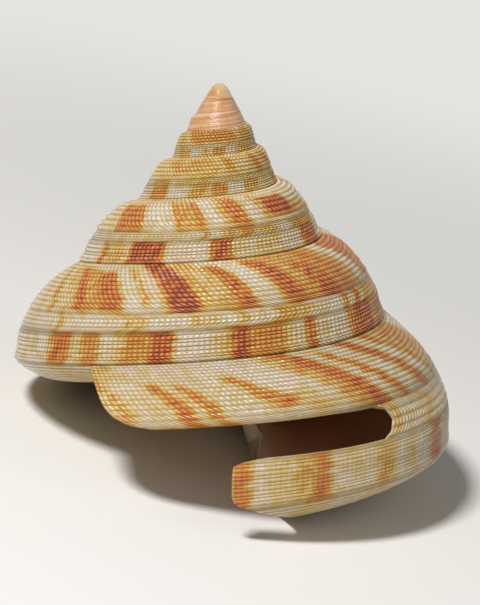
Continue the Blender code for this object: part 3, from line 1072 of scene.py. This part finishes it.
def graded(tree, level, places, colours):
    """The colours in turn as the level rises past their places."""
    stops = list(zip(places, colours))
    return add_node(tree, "ShaderNodeValToRGB", {"Fac": level}, stops=stops).outputs["Color"]


def new_material(name):
    """A material, its nodes and the shader of its surface."""
    material = bpy.data.materials.new(name)
    material.use_nodes = True
    return material, material.node_tree, material.node_tree.nodes["Principled BSDF"]


def glazed_aragonite(colours):
    """Aragonite laid down in thin prisms, hard and smooth like glaze, with sharp highlights."""
    material, tree, shader = new_material("glazed aragonite")
    growth, cord, bead, pigment, blush = (
        add_node(tree, "ShaderNodeAttribute", attribute_name=name).outputs["Fac"]
        for name in ("growth", "cord", "bead", "pigment", "blush")
    )
    # Stains that come and go over a few millimetres, and a finer mottle between neighbouring beads
    mottle = noise(tree, MOTTLE_SIZE, 2.0)
    uneven = calculate(tree, "MULTIPLY_ADD", noise(tree, STAIN_SIZE, 3.0), STAIN_STRENGTH, pigment)
    uneven = calculate(tree, "MULTIPLY_ADD", mottle, MOTTLE_STRENGTH, uneven)
    uneven = calculate(tree, "SUBTRACT", uneven, 0.5 * (STAIN_STRENGTH + MOTTLE_STRENGTH))
    # Height of the sculpture: a cord's rounded back, cut into beads
    back = calculate(tree, "SUBTRACT", 1.0, calculate(tree, "MULTIPLY", cord, cord))
    saddle = calculate(tree, "MULTIPLY", bead, bead)
    saddle = calculate(tree, "MULTIPLY_ADD", saddle, -BEAD_SHARE, 1.0)
    sculpture = calculate(tree, "MULTIPLY", back, saddle)
    # More pigment in the grooves and less on the backs of the beads: partly the shell's pigment,
    # partly painted shade in the grooves
    thinned = 1.0 + 0.5 * GROOVE_PIGMENT_AND_SHADE
    groove_pigment_and_shade = calculate(tree, "MULTIPLY_ADD", sculpture, -GROOVE_PIGMENT_AND_SHADE, thinned)
    level = calculate(tree, "MULTIPLY", uneven, groove_pigment_and_shade, clamp=True)
    hues = (colours.chalk, colours.cream, colours.straw, colours.ochre,
            colours.orange, colours.red, colours.maroon)
    flames = graded(tree, level, PIGMENT_STOPS, hues)
    # The pale ground is tinged rosy in some places and olive in others
    hues = (colours.rose, colours.chalk, colours.olive)
    tinge = graded(tree, noise(tree, TINGE_SIZE, 2.0), TINGE_STOPS, hues)
    fading = -TINGE_STRENGTH / TINGE_UPTO
    bare = calculate(tree, "MULTIPLY_ADD", level, fading, TINGE_STRENGTH, clamp=True)
    flames = mix(tree, bare, flames, tinge)
    worn = calculate(tree, "MULTIPLY", blush, BLUSH_STRENGTH)
    flushed = mix(tree, worn, flames, (*colours.blush, 1.0))
    # The backs of the beads turn paler: partly worn shell, partly a painted highlight
    paled_and_highlit = calculate(tree, "MULTIPLY", sculpture, CREST_PALENESS)
    pale_crested = mix(tree, paled_and_highlit, flushed, (*colours.crest, 1.0))
    # Painted shade darkens the grooves and painted light brightens the backs of the beads
    shade = mix(tree, sculpture, (*GROOVE_SHADE, 1.0), (*BACK_PAINTED_LIGHT, 1.0))
    groove_shaded = add_node(tree, "ShaderNodeVectorMath", {0: pale_crested, 1: shade}, operation="MULTIPLY")
    tree.links.new(groove_shaded.outputs["Vector"], shader.inputs["Base Color"])
    # Lines of growth, a fifth of a millimetre apart, cross the cords
    lines = calculate(tree, "MULTIPLY", growth, 1.0 / GROWTH_LINE)
    sockets = {"W": lines, "Scale": 1.0, "Detail": 1.0}
    lines = add_node(tree, "ShaderNodeTexNoise", sockets, noise_dimensions="1D").outputs["Fac"]
    height = calculate(tree, "MULTIPLY_ADD", lines, GROWTH_LINE_HEIGHT, sculpture)
    sockets = {"Height": height, "Distance": BUMP_HEIGHT, "Strength": 1.0}
    bump = add_node(tree, "ShaderNodeBump", sockets)
    tree.links.new(bump.outputs["Normal"], shader.inputs["Normal"])
    sockets = {"Value": mottle, "To Min": ROUGHNESS[0], "To Max": ROUGHNESS[1]}
    gloss = add_node(tree, "ShaderNodeMapRange", sockets).outputs["Result"]
    dulled = calculate(tree, "MULTIPLY_ADD", blush, WORN_ROUGHNESS, gloss)
    tree.links.new(dulled, shader.inputs["Roughness"])
    set_inputs(shader, IOR=ARAGONITE_IOR, Specular_IOR_Level=SPECULAR_LEVEL)
    return material


def nacre(colours):
    """Nacre: tablets of aragonite in thin sheets, so it is satin with a faint play of colour."""
    material, tree, shader = new_material("nacre")
    depth = add_node(tree, "ShaderNodeAttribute", attribute_name="depth").outputs["Fac"]
    cloud = noise(tree, CLOUD_SIZE, 3.0)
    # Painted shade: deeper in the hollow the nacre is darker and browner
    deeper = calculate(tree, "MULTIPLY_ADD", cloud, CLOUD_DEPTH, depth)
    plain = graded(tree, deeper, NACRE_STOPS, (colours.edge_nacre, colours.shaded_deep_nacre))
    play = graded(tree, cloud, PLAY_STOPS, [linear(hue) for hue in PLAY_HUES])
    tree.links.new(mix(tree, PLAY_SHARE, plain, play), shader.inputs["Base Color"])
    set_inputs(shader, Roughness=NACRE_ROUGHNESS, IOR=ARAGONITE_IOR)
    sockets = {"Height": cloud, "Distance": NACRE_BUMP, "Strength": NACRE_BUMP_STRENGTH}
    bump = add_node(tree, "ShaderNodeBump", sockets)
    tree.links.new(bump.outputs["Normal"], shader.inputs["Normal"])
    return material


# The camera, in shell space: the side it looks from, its tilt, and what it aims at, in millimetres
LOOK_DOWN = 7.65
LEAN = -1.268
DISTANCE = 416.8
AIM = (0.0, 0.0, -27.8)
FRAMING = (3.43, -3.25)
LENS = 178.6
CLIP_START = 0.01

# The floor, in metres: its radius, and where it starts to look even and does
FLOOR_RADIUS = 4.0
EVEN_FROM = 0.07
EVEN_BY = 0.28
FLOOR_SIDES = 96
FLOOR_ROUGHNESS = 0.9

# The lamps, in metres: each one's direction, distance and size, and the point they are aimed at
KEY_LAMP = ((-0.25, 0.72, 0.7), 0.6, 0.13)
FILL_LAMP = ((0.9, 0.3, 0.5), 0.7, 0.5)
LAMP_AIM = (0.0, 0.0, 0.025)


def rest_turn():
    about_x, about_y = (math.radians(angle) for angle in REST_TURN)
    return Matrix.Rotation(about_y, 3, "Y") @ Matrix.Rotation(about_x, 3, "X")


def set_camera():
    """Looks at the side where the slit opens, as the shell is shown standing on its own axis."""
    down = math.radians(LOOK_DOWN)
    lean = math.radians(LEAN)
    upright = Vector((0.0, math.sin(down), math.cos(down)))
    side = Vector((1.0, 0.0, 0.0))
    right = math.cos(lean) * side - math.sin(lean) * upright
    up = math.sin(lean) * side + math.cos(lean) * upright
    eye = Vector(AIM) + DISTANCE * Vector((0.0, -math.cos(down), math.sin(down)))
    look = (Vector(AIM) + FRAMING[0] * right + FRAMING[1] * up - eye).normalized()
    right = look.cross(up).normalized()
    up = right.cross(look)
    axes = rest_turn() @ Matrix((right, up, -look)).transposed()
    camera = bpy.data.objects.new("camera", bpy.data.cameras.new("camera"))
    camera.data.lens = LENS
    camera.data.clip_start = CLIP_START
    camera.location = (rest_turn() @ eye + Vector(REST_PLACE)) * MM
    camera.rotation_mode = "QUATERNION"
    camera.rotation_quaternion = axes.to_quaternion()
    bpy.context.scene.collection.objects.link(camera)
    bpy.context.scene.camera = camera
    return camera


def add_lamp(name, camera, direction, distance, size, power):
    """A soft lamp aimed at the shell; its direction is right, up and towards the camera."""
    towards = (camera.rotation_quaternion @ Vector(direction)).normalized()
    lamp = bpy.data.lights.new(name, "AREA")
    lamp.shape = "DISK"
    lamp.size = size
    lamp.energy = power
    thing = bpy.data.objects.new(name, lamp)
    thing.location = Vector(LAMP_AIM) + distance * towards
    thing.rotation_mode = "QUATERNION"
    thing.rotation_quaternion = towards.to_track_quat("Z", "Y")
    bpy.context.scene.collection.objects.link(thing)


def seen_directly(tree):
    """1 for what the camera sees, also in glossy and clear things, and 0 for light on the shell."""
    path = add_node(tree, "ShaderNodeLightPath")
    seen = calculate(tree, "ADD", path.outputs["Is Camera Ray"], path.outputs["Is Glossy Ray"])
    return calculate(tree, "ADD", seen, path.outputs["Is Transmission Ray"], clamp=True)


def add_floor(colour):
    """A wide flat sheet of pale matt paper, which far from the shell looks evenly pale."""
    bpy.ops.mesh.primitive_circle_add(
        vertices=FLOOR_SIDES, radius=FLOOR_RADIUS, fill_type="NGON"
    )
    floor = bpy.context.object
    floor.name = "floor"
    material, tree, shader = new_material("matt paper")
    set_inputs(
        shader, Base_Color=(*colour, 1.0), Roughness=FLOOR_ROUGHNESS, Specular_IOR_Level=0.0
    )
    place_at = add_node(tree, "ShaderNodeTexCoord").outputs["Object"]
    away = add_node(tree, "ShaderNodeVectorMath", {0: place_at}, operation="LENGTH")
    sockets = {"Value": away.outputs["Value"], "From Min": EVEN_FROM, "From Max": EVEN_BY}
    far = add_node(tree, "ShaderNodeMapRange", sockets, interpolation_type="SMOOTHSTEP")
    share = calculate(tree, "MULTIPLY", far.outputs["Result"], seen_directly(tree))
    even = add_node(tree, "ShaderNodeEmission", {"Color": (*colour, 1.0), "Strength": 1.0})
    sockets = {0: share, 1: shader.outputs["BSDF"], 2: even.outputs["Emission"]}
    both = add_node(tree, "ShaderNodeMixShader", sockets)
    tree.links.new(both.outputs["Shader"], tree.nodes["Material Output"].inputs["Surface"])
    floor.data.materials.append(material)


def add_world(colour, strength):
    """An evenly pale room, which lights the shell only faintly."""
    world = bpy.data.worlds.new("room")
    bpy.context.scene.world = world
    world.use_nodes = True
    tree = world.node_tree
    background = tree.nodes["Background"]
    sockets = {"Value": seen_directly(tree), "To Min": strength, "To Max": 1.0}
    level = add_node(tree, "ShaderNodeMapRange", sockets)
    background.inputs["Color"].default_value = (*colour, 1.0)
    tree.links.new(level.outputs["Result"], background.inputs["Strength"])


class SHELL_OT_grow(Operator):
    """Grow the shell and give it its glazed outside and its nacre"""

    bl_idname = "slit_shell.grow"
    bl_label = "Grow the Shell"

    def execute(self, context):
        scene = context.scene
        shell = shell_object(grow_shell(scene.shell_sizes, lay_pigment()))
        shell.data.materials.append(glazed_aragonite(scene.shell_colours))
        shell.data.materials.append(nacre(scene.shell_colours))
        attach(shell, BODY)
        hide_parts(NODE)
        return {"FINISHED"}


class SHELL_OT_stage(Operator):
    """Lay the floor, set the lamps and the room light, and place the camera"""

    bl_idname = "slit_shell.stage"
    bl_label = "Set the Stage"

    def execute(self, context):
        settings = context.scene.stage_settings
        camera = set_camera()
        add_floor(settings.floor)
        add_world(settings.floor, settings.room_light)
        add_lamp("key lamp", camera, *KEY_LAMP, settings.key_power)
        add_lamp("fill lamp", camera, *FILL_LAMP, settings.fill_power)
        context.scene.view_settings.view_transform = "Standard"
        return {"FINISHED"}


class SHELL_PT_panel(Panel):
    """Sizes, colours and steps of the slit shell"""

    bl_idname = "SHELL_PT_panel"
    bl_label = "Slit Shell"
    bl_space_type = "VIEW_3D"
    bl_region_type = "UI"
    bl_category = "Slit Shell"

    def draw(self, context):
        for group_name in GROUPS:
            group = getattr(context.scene, group_name)
            box = self.layout.box()
            for name in group.__annotations__:
                box.prop(group, name)
        for step in STEPS:
            self.layout.operator(step.bl_idname)


STEPS = (SHELL_OT_grow, SHELL_OT_stage)
GROUPS = {"shell_sizes": ShellSizes, "shell_colours": ShellColours, "stage_settings": StageSettings}
CLASSES = (*GROUPS.values(), *STEPS, SHELL_PT_panel)


def register():
    for kind in CLASSES:
        bpy.utils.register_class(kind)
    for name, group in GROUPS.items():
        setattr(bpy.types.Scene, name, PointerProperty(type=group))


def unregister():
    for name in GROUPS:
        delattr(bpy.types.Scene, name)
    for kind in reversed(CLASSES):
        bpy.utils.unregister_class(kind)


def main():
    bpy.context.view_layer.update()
    register()
    bpy.ops.slit_shell.grow()
    bpy.ops.slit_shell.stage()


if __name__ == "__main__":
    main()
